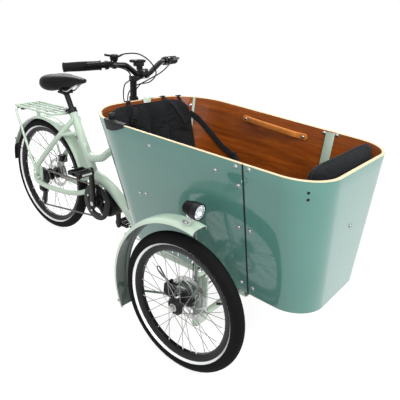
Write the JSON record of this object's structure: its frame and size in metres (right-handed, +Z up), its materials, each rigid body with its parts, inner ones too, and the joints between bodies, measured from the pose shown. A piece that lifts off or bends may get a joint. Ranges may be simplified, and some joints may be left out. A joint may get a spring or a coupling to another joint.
{
  "type": "electric cargo tricycle",
  "caption": "Front-loading electric cargo tricycle: plywood box between steered front wheels, bench seats, mid motor, rear rack and a rider's saddle.",
  "frame": {"origin": "on the ground under the middle of the tricycle's bounding box", "axes": "+X forward along the tricycle, +Y to the rider's left, +Z up"},
  "size_m": [2.0047, 0.866, 1.0031],
  "materials": {
    "mint_paint": "gloss",
    "mint_panel": "gloss laminate on plywood",
    "plywood": "satin",
    "black_metal": "satin",
    "black_plastic": "matte",
    "rubber": "matte",
    "tyre": "matte",
    "steel": "satin",
    "rim": "black anodised, with bright spokes",
    "fabric": "woven",
    "leather": "satin",
    "saddle_cover": "satin",
    "red_lens": "gloss"
  },
  "bodies": {
    "frame": {"main_frame": "mint_paint", "rear_stay_left": "mint_paint", "rear_stay_right": "mint_paint", "rear_axle": "steel", "front_crossmember": "mint_paint", "motor_housing": "black_metal", "battery_pack": "black_plastic", "box_floor": "plywood", "box_front_panel": "mint_panel", "box_side_panel_left": "mint_panel", "box_side_panel_right": "mint_panel", "box_rear_panel": "mint_panel", "seam_strip_left": "mint_paint", "seam_strip_right": "mint_paint", "wall_handle_left": "leather", "wall_handle_right": "leather", "rear_bench": "plywood", "rear_seat_cushion": "fabric", "rear_backrest": "fabric", "front_bench": "plywood", "front_seat_cushion": "fabric", "front_backrest": "fabric", "rear_rack": "mint_paint", "rear_fender": "mint_paint", "tail_light": "red_lens", "seat_clamp": "black_metal", "chain": "steel", "rear_derailleur": "black_metal"},
    "steering": {"steering_column": "black_metal", "handlebar": "black_metal", "grip_left": "rubber", "grip_right": "rubber", "display_unit": "black_plastic", "cable_brake_left": "black_plastic", "cable_brake_right": "black_plastic", "cable_gear": "black_plastic"},
    "lever_left": {"brake_lever_left": "black_metal"},
    "lever_right": {"brake_lever_right": "black_metal"},
    "shifter": {"gear_shifter": "black_plastic"},
    "bell_crank": {"bell_crank": "steel"},
    "drag_link": {"drag_link": "steel"},
    "tie_rod": {"tie_rod": "steel"},
    "knuckle_left": {"knuckle_left": "mint_paint", "front_fender_left": "mint_paint"},
    "knuckle_right": {"knuckle_right": "mint_paint", "front_fender_right": "mint_paint", "headlamp": "black_plastic"},
    "front_wheel_left": {"front_wheel_left": "rim", "front_tyre_left": "tyre"},
    "front_wheel_right": {"front_wheel_right": "rim", "front_tyre_right": "tyre"},
    "rear_wheel": {"rear_wheel": "rim", "rear_tyre": "tyre"},
    "cassette": {"cassette": "steel"},
    "crank": {"crankset": "black_metal"},
    "pedal_left": {"pedal_left": "black_plastic"},
    "pedal_right": {"pedal_right": "black_plastic"},
    "seatpost": {"seatpost": "black_metal", "saddle": "saddle_cover"}
  },
  "joints": [
    {"name": "steering_turn", "type": "hinge", "parent": "frame", "child": "steering", "pos_m": [-0.0176, 0, 0.7], "axis": [0, 0, 1], "range_deg": [-25, 25]},
    {"name": "bell_crank_turn", "type": "hinge", "parent": "frame", "child": "bell_crank", "pos_m": [0.6024, 0, 0.1775], "axis": [0, 0, 1], "range_deg": [-25, 25]},
    {"name": "drag_link_turn", "type": "hinge", "parent": "steering", "child": "drag_link", "pos_m": [-0.0176, -0.06, 0.1865], "axis": [0, 0, 1], "range_deg": [-25, 25]},
    {"name": "tie_rod_turn", "type": "hinge", "parent": "bell_crank", "child": "tie_rod", "pos_m": [0.5424, 0, 0.1975], "axis": [0, 0, 1], "range_deg": [-25, 25]},
    {"name": "knuckle_left_turn", "type": "hinge", "parent": "frame", "child": "knuckle_left", "pos_m": [0.6024, 0.29, 0.253], "axis": [0, 0, 1], "range_deg": [-25, 25]},
    {"name": "knuckle_right_turn", "type": "hinge", "parent": "frame", "child": "knuckle_right", "pos_m": [0.6024, -0.29, 0.253], "axis": [0, 0, 1], "range_deg": [-25, 25]},
    {"name": "front_wheel_left_spin", "type": "hinge", "parent": "knuckle_left", "child": "front_wheel_left", "pos_m": [0.6024, 0.375, 0.253], "axis": [0, 1, 0], "continuous": true},
    {"name": "front_wheel_right_spin", "type": "hinge", "parent": "knuckle_right", "child": "front_wheel_right", "pos_m": [0.6024, -0.375, 0.253], "axis": [0, 1, 0], "continuous": true},
    {"name": "rear_wheel_spin", "type": "hinge", "parent": "frame", "child": "rear_wheel", "pos_m": [-0.6816, 0, 0.305], "axis": [0, 1, 0], "continuous": true},
    {"name": "crank_spin", "type": "hinge", "parent": "frame", "child": "crank", "pos_m": [-0.2276, 0, 0.285], "axis": [0, 1, 0], "continuous": true},
    {"name": "cassette_spin", "type": "hinge", "parent": "frame", "child": "cassette", "pos_m": [-0.6816, 0, 0.305], "axis": [0, 1, 0], "continuous": true},
    {"name": "pedal_left_spin", "type": "hinge", "parent": "crank", "child": "pedal_left", "pos_m": [-0.2276, 0.137, 0.115], "axis": [0, 1, 0], "continuous": true},
    {"name": "pedal_right_spin", "type": "hinge", "parent": "crank", "child": "pedal_right", "pos_m": [-0.2276, -0.137, 0.455], "axis": [0, 1, 0], "continuous": true},
    {"name": "lever_left_squeeze", "type": "hinge", "parent": "steering", "child": "lever_left", "pos_m": [0.03704, 0.16072, 0.96245], "axis": [0, 0, 1], "range_deg": [0, 10], "stiffness_Nm_per_rad": 1.5, "springref_deg": -5.73},
    {"name": "lever_right_squeeze", "type": "hinge", "parent": "steering", "child": "lever_right", "pos_m": [0.03704, -0.16072, 0.96245], "axis": [0, 0, 1], "range_deg": [-10, 0], "stiffness_Nm_per_rad": 1.5, "springref_deg": 5.73},
    {"name": "shifter_turn", "type": "hinge", "parent": "steering", "child": "shifter", "pos_m": [0.0164, -0.132, 0.982], "axis": [0, 0, 1], "range_deg": [-20, 20]},
    {"name": "seatpost_slide", "type": "slide", "parent": "frame", "child": "seatpost", "axis": [-0.4606, 0, 0.8876], "range_m": [-0.05, 0.08]}
  ],
  "couplings": [
    {"joint": "bell_crank_turn", "follows": "steering_turn", "ratio": 1},
    {"joint": "drag_link_turn", "follows": "steering_turn", "ratio": -1},
    {"joint": "tie_rod_turn", "follows": "steering_turn", "ratio": -1},
    {"joint": "knuckle_left_turn", "follows": "steering_turn", "ratio": 1},
    {"joint": "knuckle_right_turn", "follows": "steering_turn", "ratio": 1},
    {"joint": "cassette_spin", "follows": "crank_spin", "ratio": 2}
  ]
}
